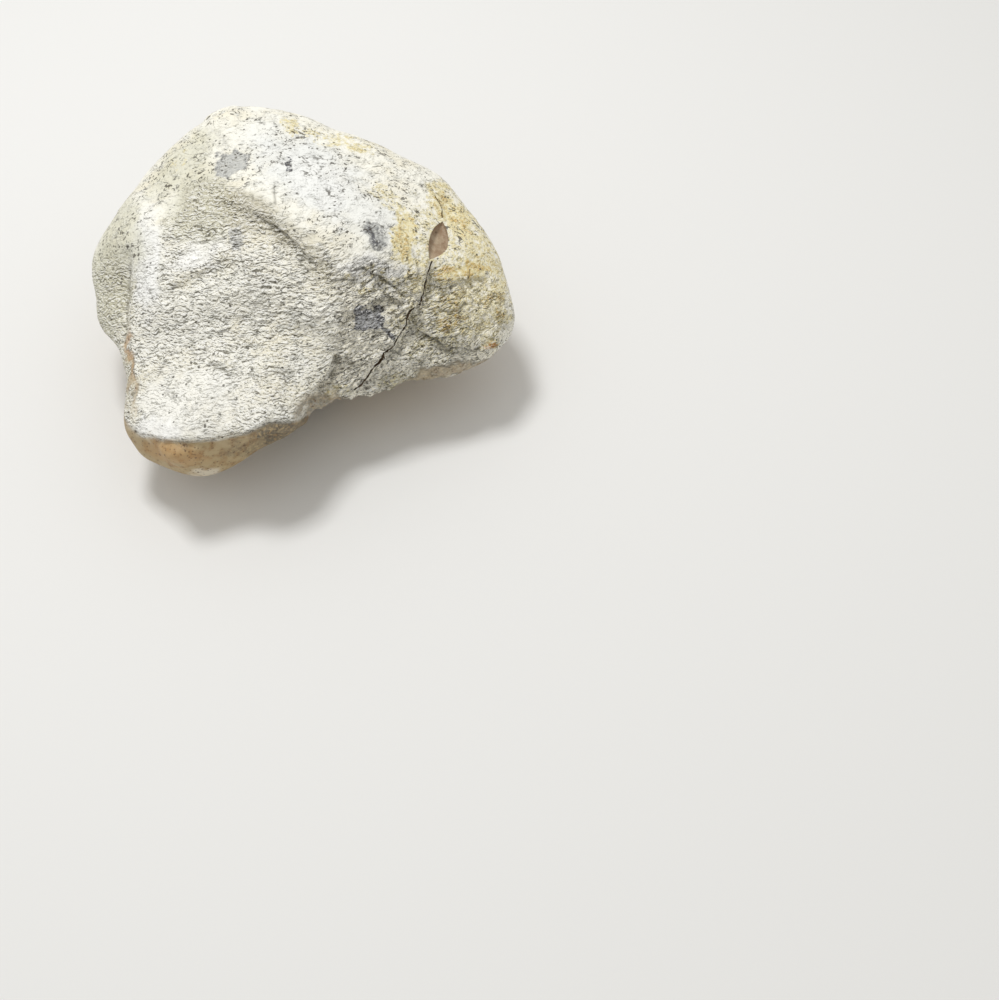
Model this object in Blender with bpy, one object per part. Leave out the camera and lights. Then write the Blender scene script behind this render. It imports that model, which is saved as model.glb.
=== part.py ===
"""A quartz geode as found: one closed, unpolished stone about 62 mm across.

Metres, +Z up. The stone stands on the small flat spot under it, and the origin
is below the middle of the stone, at that flat spot's height.
"""
import math
from collections import namedtuple

import bmesh
import bpy
import numpy as np
from mathutils import Matrix, Vector, noise
from mathutils.bvhtree import BVHTree

MM = 0.001

# ---- driving dimensions, in millimetres ---------------------------------------------
HEART_HEIGHT = 18.0        # height of the point that every radius is measured from
BOARD_TILT = 45.0          # degrees: the front is laid out on a board that leans back so
BEHIND_DEPTH = 6.0         # the stone turns away this far behind its rim ...
BEHIND_NARROWS = 0.07      # ... narrowing by this share
EASE = 0.0006              # how far the surface may ease off a landmark to stay smooth
SPHERE_LEVEL = 7           # 81,920 faces before thinning
FACES_KEPT = 9000          # faces of the stone after thinning

LUMP_SIZE, LUMP_HEIGHT = 7.0, 0.45         # soft lumps all over
RUBBLE_SIZE, RUBBLE_HEIGHT = 4.2, 1.1      # knobs with creases between, low on the right
RUBBLE_SUNK = 0.2                          # share of that height by which the creases lie deeper
PLATE_SIZE, PLATE_HEIGHT = 3.0, 0.22       # broken plates among them
PLATE_SHUFFLE = 7.7                        # scatters the plates' levels: any uneven factor would
GRAIN_SIZE, GRAIN_HEIGHT = 2.4, 0.25       # small lumps, at their full height on broken ground
GRAIN_ELSEWHERE = 0.4                      # share of that height elsewhere
SEED_STEP = Vector((17.3, 5.9, 11.1))      # two seeds read the noise this far apart
FRONT_FADE = 3.0                           # front relief fades out this far behind the board
BROKEN_FADE = 3.0                          # broken ground fades in over this width

STEP_WOBBLE_SIZE, STEP_WOBBLE = 3.0, 0.5   # how the steps stray from their lines
STEP_ENDS = 0.2                            # share of its line over which a step fades at each end

CRACK_DEPTH = 2.6
CRACK_STANDS_OUT = 1.0     # the crack's blade reaches this far out of the stone
CRACK_LEVELLING = 1.5      # the blade stands square to the surface averaged over this reach
CHIP_MIDDLE = (19.6, 6.9)  # across and up on the board
CHIP_LENGTH, CHIP_WIDTH, CHIP_DEPTH = 7.0, 3.0, 1.0
CHIP_LEAN = 17.0           # degrees, its top towards the right
CHIP_BOW = 0.25            # how far its right side bulges, as a share of the half width
CHIP_SEGMENTS, CHIP_RINGS = 28, 18

CLEAR_OF_STONE = 60.0      # higher above the board than any of the stone
GROUND_BLOCK = 100.0       # side of the block that cuts the flat spot

PALE_STONE = (0.62, 0.60, 0.51, 1.0)
ROUGHNESS = 0.93

# ---- landmarks on the front, measured on the board: (across, up, out) -----------------
RIM = [
    (-10.5, 26.5, -9), (-5, 26.5, -10), (0.5, 25, -10), (6.5, 22.8, -10), (13, 20, -9.5),
    (19.7, 16.2, -8), (23.5, 12.2, -7), (27, 7.3, -5), (29.5, 0.5, -3.5), (30.5, -4.5, -2),
    (29, -8, 0), (26, -10, 1.5), (22, -12, 2), (16.5, -12.5, 2.5), (12, -14, 3),
    (8, -15, 5), (3.5, -17, 6.5), (1, -19, 10), (-2, -21, 10), (-6, -22.5, 10.5),
    (-9.5, -25, 10.5), (-12.5, -26, 10.5), (-17, -25, 10), (-21, -23.5, 9.5),
    (-23, -20.5, 9), (-23.5, -14.5, 7), (-24.5, -10, 5), (-28.4, -6.5, 0), (-29.5, -2, -1.5),
    (-30.5, 1.5, -3), (-30.5, 5, -4.5), (-28.5, 9.5, -6), (-24.5, 15.5, -7.5),
    (-19.5, 21, -8.5), (-14.5, 24.5, -9),
]
HUMP = [
    (-8.5, 19.5, -1), (0, 19.5, -1), (8.5, 17, -1), (-6, 14.5, 5), (1, 13.5, 6.5),
    (8, 11.5, 6.5), (14.5, 11, 3.5), (20, 10, 0.5), (5, 8, 10), (12, 8, 8.5),
    (18, 5.5, 5.5), (23, 5.5, 2.5), (7, 5, 10.8),
]
BROAD_FACE = [
    (-12, 9, 7), (-7.5, 7, 9), (-2.5, 5, 10.5), (2.5, 2.5, 11), (-10, 2.5, 10.2),
    (-4, 0.5, 10.9), (-8, -3.5, 10.4), (0, -3, 11.1), (-14, -2.5, 9.8), (-7.5, -7, 10.8),
    (-1, -7.5, 11.2),
]
LEFT = [
    (-19, 14, -1), (-21, 8.5, 3.5), (-20.5, 3, 6), (-19.5, -2, 8), (-15, 6, 6.5),
    (-16, 11, 3), (-22.5, -2, 5.5), (-26, 0.5, -0.5), (-22, -7, 7), (-19.5, -8, 8.8),
]
TONGUE = [
    (-14, -8, 9.8), (-20, -12.5, 11), (-13.5, -12.5, 12.6), (-6.5, -12, 12.6),
    (0.5, -12, 12.4), (-18.5, -18.5, 15), (-12.5, -19, 17.5), (-6.5, -18.5, 17.5),
    (-2.5, -17, 16.8), (0.5, -16.5, 15.2),
]
UNDER_LIP = [(-18, -21.5, 12), (-11.5, -22.5, 14), (-6, -20.5, 14), (-2, -19, 13.2)]
RIGHT = [
    (6, -5, 10.5), (11, -1, 9.3), (10, -6, 8.5), (7, -10, 9), (4.5, -13, 9.8),
    (13.5, -7.5, 7.3), (16.5, -3, 7), (19.5, -0.5, 5.8), (20.5, -4.5, 5.6),
    (19, -9, 4.5), (23.5, -8, 4.2), (25.5, -2, 3.2), (27.5, -6, 2), (11.5, -11.5, 6.5),
    (15, 3.5, 8),
]
# ---- landmarks on the back and underneath: (x, y, z) ------------------------------------
BACK = [
    (0, 26, 14), (-13, 23, 14), (13, 19.5, 13), (0, 23, 6), (-13, 20, 7), (12, 17, 6),
    (-22, 12, 12), (21, 11, 9), (-23, 4, 7), (-20, -5, 5), (-16, -14, 4), (-6, -14.5, 3),
    (20, 4, 4.5), (21, -2, 7), (12, -4, 4),
]
UNDERSIDE = [
    (10, 6, 0), (0, 16, 0), (-13, 9, 0), (-15, -7, 0), (-5, -9, 0), (6, -2, 0), (-3, 3, -2.5),
]

# ---- steps: the ground drops on the right of someone who walks along the line ------------
Step = namedtuple("Step", "line drop width reach")
BROW = Step(
    [(-12.5, 14), (-7, 11.5), (-4, 10), (-1, 8.5), (1.5, 6.5), (4, 4.5), (6.5, 1), (7.5, -1.5)],
    drop=1.6, width=2.4, reach=3.6)
BROW_GROOVE = Step(
    [(-4.5, 10), (-1.5, 8.3), (1.2, 6), (3.4, 3.8)], drop=0.8, width=0.7, reach=0.8)
SPUR = Step(
    [(-18, -1), (-15, 1.5), (-12.5, 2.5), (-10.5, 3.5), (-7.5, 5)], drop=1.1, width=1.5, reach=3.5)
LIP = Step(
    [(-22.5, -18), (-20.5, -19.8), (-14, -20), (-9.5, -20), (-5.5, -19), (-2.5, -17.5), (1, -17.5)],
    drop=1.1, width=0.7, reach=3.0)
TONGUE_EDGE = Step(
    [(0.5, -18), (2.5, -15), (4, -13), (5.5, -11), (6, -8.5)], drop=1.6, width=1.0, reach=2.5)
LOBE_GROOVE = Step(
    [(-23, 7), (-23.5, 4), (-24, 0.5), (-24, -3), (-24, -6.5), (-23.5, -9)],
    drop=1.1, width=1.0, reach=3.0)
UPPER_LEDGE = Step(
    [(7.5, 0.5), (8.5, 1.5), (10.5, 2.5), (13, 2.5), (15, 1.5), (17, 0.5)],
    drop=0.9, width=0.8, reach=2.2)
MIDDLE_LEDGE = Step(
    [(10.5, -2), (12, -1.5), (13.5, -1), (15.5, -2)], drop=0.8, width=0.7, reach=1.8)
RIGHT_LEDGE = Step(
    [(17, -5.5), (19, -6.5), (21, -8), (23.5, -8.5), (26.5, -8.5)], drop=0.9, width=0.7, reach=2.5)
FAR_LEFT_LEDGE = Step(
    [(-20, 16), (-19, 17), (-17.5, 18.5), (-16, 19.5)], drop=0.7, width=0.7, reach=1.8)
STEPS = [
    BROW, BROW_GROOVE, SPUR, LIP, TONGUE_EDGE, LOBE_GROOVE, UPPER_LEDGE, MIDDLE_LEDGE,
    RIGHT_LEDGE, FAR_LEFT_LEDGE,
]
# The broken ground lies left of someone who walks along this line from the right.
BROKEN_EDGE = [(31, 0), (24, 1.5), (17, 1), (10.5, 2), (7.5, 0), (6, -8.5), (4, -13), (1, -19)]

# ---- the crack, above and below the chip: (across, up, width) -----------------------------
UPPER_CRACK = [(19.2, 13.5, 0.1), (20.2, 11.8, 0.22), (20.4, 9.8, 0.3)]
LOWER_CRACK = [
    (19.1, 4, 0.35), (18.4, 2, 0.3), (17.8, -0.5, 0.3), (17.3, -2.2, 0.35), (16, -2.9, 0.45),
    (15.6, -4.5, 0.3), (14.8, -6, 0.35), (13.9, -7.5, 0.4), (12.5, -8.8, 0.6), (11.7, -10, 0.75),
    (10.4, -11.5, 0.6), (9.3, -13, 0.45), (8, -14, 0.25),
]


def board_to_world(across, up, out):
    """A point on the leaning board, as x, y and z in millimetres above the ground."""
    tilt = math.radians(BOARD_TILT)
    return Vector((
        across,
        up * math.sin(tilt) - out * math.cos(tilt),
        HEART_HEIGHT + up * math.cos(tilt) + out * math.sin(tilt),
    ))


def world_to_board(points):
    """Points (x, y, z) as across, up and out on the leaning board."""
    tilt = math.radians(BOARD_TILT)
    y, z = points[:, 1], points[:, 2] - HEART_HEIGHT
    return np.column_stack([
        points[:, 0],
        y * math.sin(tilt) + z * math.cos(tilt),
        z * math.sin(tilt) - y * math.cos(tilt),
    ])


# ---- the smooth form ------------------------------------------------------------------
def landmarks():
    turn = 1 - BEHIND_NARROWS
    behind = [(across * turn, up * turn, out - BEHIND_DEPTH) for across, up, out in RIM]
    front = RIM + behind + HUMP + BROAD_FACE + LEFT + TONGUE + UNDER_LIP + RIGHT
    return [board_to_world(*point) for point in front] + [Vector(p) for p in BACK + UNDERSIDE]


def bending(a, b):
    """How much a landmark in each direction of b bends the surface in each of a."""
    return np.linalg.norm(a[:, None, :] - b[None, :, :], axis=2) ** 3


def flat_part(directions):
    return np.hstack([np.ones((len(directions), 1)), directions])


def radius_field():
    """The stone's radius in every direction from its heart, through all the landmarks.

    One over the radius is blended, not the radius: on a flat face that changes in
    proportion with the direction, so landmarks on one broken face stay flat between.
    """
    heart = Vector((0, 0, HEART_HEIGHT))
    arms = np.array([point - heart for point in landmarks()])
    radii = np.linalg.norm(arms, axis=1)
    spots = arms / radii[:, None]
    bend = bending(spots, spots) + EASE * np.eye(len(spots))
    flat = flat_part(spots)
    system = np.block([[bend, flat], [flat.T, np.zeros((4, 4))]])
    weights = np.linalg.solve(system, np.append(1 / radii, np.zeros(4)))
    return lambda wanted: 1 / (np.hstack([bending(wanted, spots), flat_part(wanted)]) @ weights)


# ---- ledges, lip and grooves -------------------------------------------------------------
def smooth(x):
    x = np.clip(x, 0, 1)
    return x * x * (3 - 2 * x)


def from_line(spots, line):
    """How far each spot is right of a line, and how far along it, from 0 to 1."""
    line = np.array(line, float)
    lengths = np.linalg.norm(np.diff(line, axis=0), axis=1)
    nearest = np.full(len(spots), np.inf)
    right, along = np.zeros(len(spots)), np.zeros(len(spots))
    walked = 0.0
    for start, end, length in zip(line[:-1], line[1:], lengths):
        way = (end - start) / length
        offset = spots - start
        reached = np.clip(offset @ way, 0, length)
        gap = np.linalg.norm(offset - reached[:, None] * way, axis=1)
        side = np.sign(way[1] * offset[:, 0] - way[0] * offset[:, 1])
        closer = gap < nearest
        nearest = np.where(closer, gap, nearest)
        right = np.where(closer, gap * side, right)
        along = np.where(closer, (walked + reached) / lengths.sum(), along)
        walked += length
    return right, along


def step_down(spots, step, wobble):
    """How far the ground lies below the smooth form on the low side of a step."""
    right, along = from_line(spots, step.line)
    right = right + wobble
    fading_ends = smooth(np.minimum(along, 1 - along) / STEP_ENDS)
    rising_again = np.exp(-(np.maximum(right, 0) / step.reach) ** 2)
    return step.drop * fading_ends * smooth(right / step.width + 0.5) * rising_again


# ---- lumps and broken ground ------------------------------------------------------------
def noise_at(points, size, seed):
    """Smooth noise from about -1 to 1, whose lumps are size mm across."""
    shift = SEED_STEP * seed
    return np.array([noise.noise(Vector(point) / size + shift) for point in points])


def plates_at(points, size, seed):
    """One level from -1 to 1 for each broken plate, about size mm across."""
    shift = SEED_STEP * seed
    middles = [noise.voronoi(Vector(point) / size + shift)[1][0] for point in points]
    return np.array([2 * noise.cell(middle * PLATE_SHUFFLE) - 1 for middle in middles])


def relief(points, board, on_front):
    """How far the lumps, plates and knobs stand above the smooth form."""
    left, _ = from_line(board[:, :2], BROKEN_EDGE)
    broken = on_front * smooth(0.5 - left / BROKEN_FADE)
    lumps = LUMP_HEIGHT * noise_at(points, LUMP_SIZE, 1)
    rubble = RUBBLE_HEIGHT * (np.abs(noise_at(points, RUBBLE_SIZE, 2)) - RUBBLE_SUNK)
    plates = PLATE_HEIGHT * plates_at(points, PLATE_SIZE, 4)
    grain_share = GRAIN_ELSEWHERE + (1 - GRAIN_ELSEWHERE) * broken
    grain = GRAIN_HEIGHT * grain_share * noise_at(points, GRAIN_SIZE, 5)
    return lumps + broken * (rubble + plates) + grain


# ---- the stone and its cutters -----------------------------------------------------------
def finished(bm, name):
    """The mesh of a bmesh, with its faces turned outwards."""
    if bm.calc_volume(signed=True) < 0:
        bmesh.ops.reverse_faces(bm, faces=bm.faces)
    mesh = bpy.data.meshes.new(name)
    bm.to_mesh(mesh)
    bm.free()
    return mesh


def stone_mesh():
    bm = bmesh.new()
    bmesh.ops.create_icosphere(bm, subdivisions=SPHERE_LEVEL, radius=1.0)
    directions = np.array([vertex.co.normalized() for vertex in bm.verts])
    radii = radius_field()(directions)
    heart = np.array([0, 0, HEART_HEIGHT])
    points = directions * radii[:, None] + heart
    board = world_to_board(points)
    on_front = smooth(board[:, 2] / FRONT_FADE + 1)
    wobble = STEP_WOBBLE * noise_at(points, STEP_WOBBLE_SIZE, 3)
    radii += relief(points, board, on_front)
    for step in STEPS:
        radii -= on_front * step_down(board[:, :2], step, wobble)
    points = directions * radii[:, None] + heart
    for vertex, point in zip(bm.verts, points):
        vertex.co = Vector(point) * MM
    return finished(bm, "geode")


def board_rotation():
    """Turns across, up and out into the world's x, y and z."""
    middle = board_to_world(0, 0, 0)
    axes = [board_to_world(*axis) - middle for axis in ((1, 0, 0), (0, 1, 0), (0, 0, 1))]
    return Matrix(axes).transposed()


def surface_at(tree, across, up):
    """The spot on the stone's front, in metres, that is met looking straight at the board."""
    high = board_to_world(across, up, CLEAR_OF_STONE) * MM
    return tree.ray_cast(high, board_rotation() @ Vector((0, 0, -1)))[0]


def facing_near(tree, spot, reach):
    """The way the stone faces on average within reach millimetres of a spot."""
    facings = [facing for _, facing, _, _ in tree.find_nearest_range(spot, reach * MM)]
    return sum(facings, Vector()).normalized()


def crack_mesh(tree, line, name):
    """A blade that follows a crack: wide where it leaves the stone, sharp at its bottom."""
    turn = board_rotation()
    flare = 1 + CRACK_STANDS_OUT / CRACK_DEPTH
    bm = bmesh.new()
    sections = []
    for index, (across, up, width) in enumerate(line):
        before, after = line[max(index - 1, 0)], line[min(index + 1, len(line) - 1)]
        way = turn @ Vector((after[0] - before[0], after[1] - before[1], 0))
        middle = surface_at(tree, across, up)
        outward = facing_near(tree, middle, CRACK_LEVELLING)
        sideways = outward.cross(way).normalized()
        half = sideways * width / 2 * flare * MM
        top = middle + outward * CRACK_STANDS_OUT * MM
        bottom = middle - outward * CRACK_DEPTH * MM
        sections.append([bm.verts.new(spot) for spot in (top - half, bottom, top + half)])
    for one, other in zip(sections[:-1], sections[1:]):
        for a in range(3):
            b = (a + 1) % 3
            bm.faces.new((one[a], one[b], other[b], other[a]))
    bm.faces.new(reversed(sections[0]))
    bm.faces.new(sections[-1])
    return finished(bm, name)


def chip_mesh(tree):
    """A shallow leaf-shaped scoop with a point at each end, lying in the surface."""
    bm = bmesh.new()
    bmesh.ops.create_uvsphere(
        bm, u_segments=CHIP_SEGMENTS, v_segments=CHIP_RINGS, radius=1.0)
    middle = surface_at(tree, *CHIP_MIDDLE)
    outward = facing_near(tree, middle, CHIP_LENGTH / 2)
    lean = math.radians(CHIP_LEAN)
    up_the_board = board_rotation() @ Vector((math.sin(lean), math.cos(lean), 0))
    out_of_board = board_rotation() @ Vector((0, 0, 1))
    tilt = up_the_board.dot(outward) / out_of_board.dot(outward)
    along = (up_the_board - out_of_board * tilt).normalized()
    sideways = along.cross(outward)
    for vertex in bm.verts:
        side, rise, end = vertex.co
        pinch = math.sqrt(max(0.0, 1 - end * end))
        side = (side * pinch + CHIP_BOW * pinch * pinch) * CHIP_WIDTH / 2
        vertex.co = middle + (
            sideways * side + along * end * CHIP_LENGTH / 2 + outward * rise * CHIP_DEPTH) * MM
    return finished(bm, "chip_cutter")


def ground_mesh():
    """A block whose top is the flat that the stone rests on."""
    bm = bmesh.new()
    bmesh.ops.create_cube(bm, size=GROUND_BLOCK * MM)
    bmesh.ops.translate(bm, vec=(0, 0, -GROUND_BLOCK / 2 * MM), verts=bm.verts)
    return finished(bm, "ground_cutter")


def collection(name):
    made = bpy.data.collections.new(name)
    bpy.context.scene.collection.children.link(made)
    return made


def cutter(mesh, group):
    obj = bpy.data.objects.new(mesh.name, mesh)
    obj.hide_render = True
    obj.display_type = "WIRE"
    group.objects.link(obj)
    return obj


def stone_material():
    material = bpy.data.materials.new("pale_stone")
    material.use_nodes = True
    shader = material.node_tree.nodes["Principled BSDF"]
    shader.inputs["Base Color"].default_value = PALE_STONE
    shader.inputs["Roughness"].default_value = ROUGHNESS
    shader.inputs["Metallic"].default_value = 0.0
    return material


def middle_of(obj):
    """The middle of an object's bounding box, x and y, as its modifiers leave it."""
    shown = obj.evaluated_get(bpy.context.evaluated_depsgraph_get())
    corners = np.array(shown.bound_box)
    return (corners.min(axis=0) + corners.max(axis=0))[:2] / 2


def main():
    for obj in list(bpy.data.objects):
        bpy.data.objects.remove(obj)
    mesh = stone_mesh()
    mesh.materials.append(stone_material())
    mesh.shade_smooth()
    stone = bpy.data.objects.new("geode", mesh)
    collection("quartz_geode").objects.link(stone)
    thin = stone.modifiers.new("fewer_faces", "DECIMATE")
    thin.ratio = FACES_KEPT / len(mesh.polygons)
    bm = bmesh.new()
    bm.from_mesh(mesh)
    tree = BVHTree.FromBMesh(bm)
    bm.free()
    cutter_meshes = [
        ground_mesh(),
        chip_mesh(tree),
        crack_mesh(tree, UPPER_CRACK, "upper_crack_cutter"),
        crack_mesh(tree, LOWER_CRACK, "lower_crack_cutter"),
    ]
    group = collection("cutters")
    for cutter_mesh in cutter_meshes:
        cut = stone.modifiers.new(cutter_mesh.name, "BOOLEAN")
        cut.operation = "DIFFERENCE"
        cut.solver = "EXACT"
        cut.object = cutter(cutter_mesh, group)
    x, y = middle_of(stone)
    for obj in [stone, *group.objects]:
        obj.location = (-x, -y, 0)
    print(f"The heart is at {-x:.5f}, {-y:.5f} m")


main()
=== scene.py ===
# %% [markdown]
# # A quartz geode, whole
# The stone is a closed geode as it comes out of the ground: a pale, chalky lump about 62 mm
# across, domed at the back and broken at the front. It is one natural piece, so it is one mesh.
# This lesson takes the stone's exact solid, lays a fine surface over it, carves the breaks that
# a hand would feel, cuts the crack and the chip, and then colours it as chalk, ochre stain,
# grey flint, dirt, painted light and shade, and waxy chert.

# %% The stone's solid
import math

import bmesh
import bpy
import numpy as np
from mathutils import Matrix, Vector, noise
from mathutils.bvhtree import BVHTree


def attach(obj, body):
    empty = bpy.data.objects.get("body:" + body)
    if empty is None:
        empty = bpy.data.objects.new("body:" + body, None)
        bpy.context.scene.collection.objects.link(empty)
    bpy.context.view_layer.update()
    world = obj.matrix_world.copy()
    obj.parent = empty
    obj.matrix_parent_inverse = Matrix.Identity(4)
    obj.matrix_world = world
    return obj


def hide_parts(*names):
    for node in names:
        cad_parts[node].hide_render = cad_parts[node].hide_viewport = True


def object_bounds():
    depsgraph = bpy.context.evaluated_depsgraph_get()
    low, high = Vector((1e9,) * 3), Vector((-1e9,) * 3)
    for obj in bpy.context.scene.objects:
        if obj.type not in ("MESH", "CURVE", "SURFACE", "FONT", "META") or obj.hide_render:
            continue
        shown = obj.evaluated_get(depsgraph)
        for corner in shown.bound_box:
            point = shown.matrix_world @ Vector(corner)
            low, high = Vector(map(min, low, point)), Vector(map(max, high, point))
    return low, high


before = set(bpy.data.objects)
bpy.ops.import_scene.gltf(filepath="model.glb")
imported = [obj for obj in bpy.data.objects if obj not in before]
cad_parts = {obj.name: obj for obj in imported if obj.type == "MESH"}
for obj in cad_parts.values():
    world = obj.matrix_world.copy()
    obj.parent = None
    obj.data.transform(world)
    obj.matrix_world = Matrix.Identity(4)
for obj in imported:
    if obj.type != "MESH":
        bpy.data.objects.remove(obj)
CAD_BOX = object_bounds()
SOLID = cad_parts["geode"]
MM = 0.001
SOLID_SIZE = [round((high - low) / MM, 1) for low, high in zip(*CAD_BOX)]
print("Solid:", len(SOLID.data.polygons), "faces,", SOLID_SIZE, "mm")

# %% [markdown]
# ## Camera
# The stone is seen from a little over 50 degrees above the table, from close by, in the upper
# left of the view. A lens shift could place it there too, but the camera simply looks past it,
# because then the perspective is that of any camera held in the hand.

# %% Camera
VIEW_SIZE = (999, 1000)  # pixels, across and down
LENS, SENSOR = 55.0, 36.0  # mm
LOOKS_DOWN = 52.8  # degrees
HEART = Vector((0.24, -0.65, 18.0)) * MM  # the point inside the stone that it is laid out from
HEART_AT = (300, 290)  # where that point is in the view, in pixels from its top left
HEART_DEPTH = 218.3 * MM  # how far in front of the lens it is, along the lens
NEAREST, FARTHEST = 0.01, 10.0  # metres that the camera sees


def add_camera():
    down = math.radians(LOOKS_DOWN)
    ahead = Vector((0, math.cos(down), -math.sin(down)))
    above = Vector((0, math.sin(down), math.cos(down)))
    focal = LENS / SENSOR * max(VIEW_SIZE)
    across = (HEART_AT[0] - VIEW_SIZE[0] / 2) / focal
    rise = (VIEW_SIZE[1] / 2 - HEART_AT[1]) / focal
    data = bpy.data.cameras.new("camera")
    data.lens, data.sensor_width = LENS, SENSOR
    data.clip_start, data.clip_end = NEAREST, FARTHEST
    camera = bpy.data.objects.new("camera", data)
    camera.location = HEART - (ahead + Vector((1, 0, 0)) * across + above * rise) * HEART_DEPTH
    camera.rotation_mode = "QUATERNION"
    camera.rotation_quaternion = ahead.to_track_quat("-Z", "Y")
    bpy.context.scene.collection.objects.link(camera)
    bpy.context.scene.camera = camera
    return camera


print("Camera at", tuple(round(v, 3) for v in add_camera().location))

# %% [markdown]
# ## Floor and light
# A pale floor and one soft lamp overhead, a little behind and to the left, with a bright even
# sky. Chalk shows its relief through many small shadows. Several lamps would blur them, so one
# lamp draws them, and the sky is strong enough to keep them open.

# %% Floor and light
FLOOR_SIZE, FLOOR_COLOUR, FLOOR_ROUGHNESS = 6.0, (0.80, 0.80, 0.79, 1), 0.9
SKY, SKY_COLOUR = 0.62, (1.0, 0.985, 0.95, 1)
LAMP_WATTS, LAMP_SIZE, LAMP_AT = 0.80, 0.09, Vector((-0.07, 0.08, 0.385))


def add_floor():
    bpy.ops.mesh.primitive_plane_add(size=FLOOR_SIZE, location=(0, 0, 0))
    floor = bpy.context.object
    floor.name = "floor"
    paint = bpy.data.materials.new("floor_paper")
    paint.use_nodes = True
    shader = paint.node_tree.nodes["Principled BSDF"]
    shader.inputs["Base Color"].default_value = FLOOR_COLOUR
    shader.inputs["Roughness"].default_value = FLOOR_ROUGHNESS
    floor.data.materials.append(paint)


def add_light():
    sky = bpy.data.worlds.new("sky")
    bpy.context.scene.world = sky
    sky.use_nodes = True
    sky.node_tree.nodes["Background"].inputs["Color"].default_value = SKY_COLOUR
    sky.node_tree.nodes["Background"].inputs["Strength"].default_value = SKY
    lamp = bpy.data.lights.new("softbox", "AREA")
    lamp.energy, lamp.size = LAMP_WATTS, LAMP_SIZE
    holder = bpy.data.objects.new("softbox", lamp)
    holder.location = LAMP_AT
    holder.rotation_mode = "QUATERNION"
    holder.rotation_quaternion = (HEART - LAMP_AT).to_track_quat("-Z", "Y")
    bpy.context.scene.collection.objects.link(holder)


add_floor()
add_light()
bpy.context.scene.view_settings.view_transform = "Standard"
print("Sky", SKY, "and a softbox of", LAMP_WATTS, "W")

# %% [markdown]
# ## Places on the stone
# The broken front faces forwards and up, so its features are laid out as if drawn on a flat
# board that leans back. A place on the board is given in mm across, up and out from the stone's
# heart. Long features are lines on the board, and what matters at a spot is how far it lies to
# the right of such a line. World coordinates would do too, but they are hard to read.

# %% Places on the stone
BOARD_TILT = 45.0  # degrees that the board leans back


def smooth(x):
    """A soft ramp: 0 below 0, and 1 above 1."""
    x = np.clip(x, 0, 1)
    return x * x * (3 - 2 * x)


def fade_in(x, start, width):
    """0 up to the start, and 1 from the width further on."""
    return smooth((x - start) / width)


def fade_out(x, end, width):
    """1 until the width before the end, and 0 from the end on."""
    return smooth((end - x) / width)


def board_to_world(across, up, out):
    """A place on the board as a point in mm."""
    tilt = math.radians(BOARD_TILT)
    return HEART / MM + Vector((
        across, up * math.sin(tilt) - out * math.cos(tilt), up * math.cos(tilt) + out * math.sin(tilt)))


def board_way(across, up, out):
    return board_to_world(across, up, out) - HEART / MM


def world_to_board(points):
    """Points in mm as places on the board."""
    tilt = math.radians(BOARD_TILT)
    x, y, z = (points - np.array(HEART) / MM).T
    return np.column_stack([
        x, y * math.sin(tilt) + z * math.cos(tilt), z * math.sin(tilt) - y * math.cos(tilt)])


def from_line(board, line):
    """How far each place is right of a line, and how far along it, from 0 to 1."""
    spots, line = board[:, :2], np.array(line, float)[:, :2]
    lengths = np.linalg.norm(np.diff(line, axis=0), axis=1)
    nearest = np.full(len(spots), np.inf)
    right, along = np.zeros(len(spots)), np.zeros(len(spots))
    walked = 0.0
    for start, end, length in zip(line[:-1], line[1:], lengths):
        way = (end - start) / length
        offset = spots - start
        reached = np.clip(offset @ way, 0, length)
        gap = np.linalg.norm(offset - reached[:, None] * way, axis=1)
        side = np.sign(way[1] * offset[:, 0] - way[0] * offset[:, 1])
        closer = gap < nearest
        nearest = np.where(closer, gap, nearest)
        right = np.where(closer, gap * side, right)
        along = np.where(closer, (walked + reached) / lengths.sum(), along)
        walked += length
    return right, along


print("The board faces", tuple(round(v, 2) for v in board_way(0, 0, 1)))

# %% [markdown]
# ## A ball of squares
# The surface starts as a cube of squares, blown up to a ball of radius 1. Blender's ball of
# rings would waste its squares on two crowded poles. The cube's squares are pushed towards the
# front instead, so that the broken ground there gets more of them than the back.

# %% A ball of squares
GRID = 127  # squares along each side of the cube
FRONT = Vector((0.1, -0.75, 0.65)).normalized()
CROWDING = 0.50  # how strongly the squares crowd towards the front


def ball_mesh():
    bm = bmesh.new()
    bmesh.ops.create_cube(bm, size=2.0)
    bmesh.ops.subdivide_edges(bm, edges=bm.edges[:], cuts=GRID - 1, use_grid_fill=True)
    for vertex in bm.verts:
        even = Vector([math.tan(c * math.pi / 4) for c in vertex.co]).normalized()
        vertex.co = (even + FRONT * CROWDING).normalized()
    mesh = bpy.data.meshes.new("stone")
    bm.to_mesh(mesh)
    bm.free()
    return mesh


def corner_values(mesh, name):
    """Each corner's place ("co") or the way it faces ("normal")."""
    found = np.empty(len(mesh.vertices) * 3)
    mesh.vertices.foreach_get(name, found)
    return found.reshape(-1, 3)


def place_corners(mesh, points):
    """Moves a mesh's corners to points given in mm, and none of them below the table."""
    points[:, 2] = np.maximum(points[:, 2], 0.0)
    mesh.vertices.foreach_set("co", (points * MM).ravel())
    mesh.update()


def edge_ends(mesh):
    ends = np.empty(len(mesh.edges) * 2, int)
    mesh.edges.foreach_get("vertices", ends)
    return ends.reshape(-1, 2).T


def neighbour_mean(values, ends):
    one, other = ends
    count = np.bincount(one, minlength=len(values)) + np.bincount(other, minlength=len(values))
    total = np.bincount(one, values[other], len(values)) + np.bincount(other, values[one], len(values))
    return total / count


STONE_MESH = ball_mesh()
print("Ball:", len(STONE_MESH.polygons), "squares")

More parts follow.
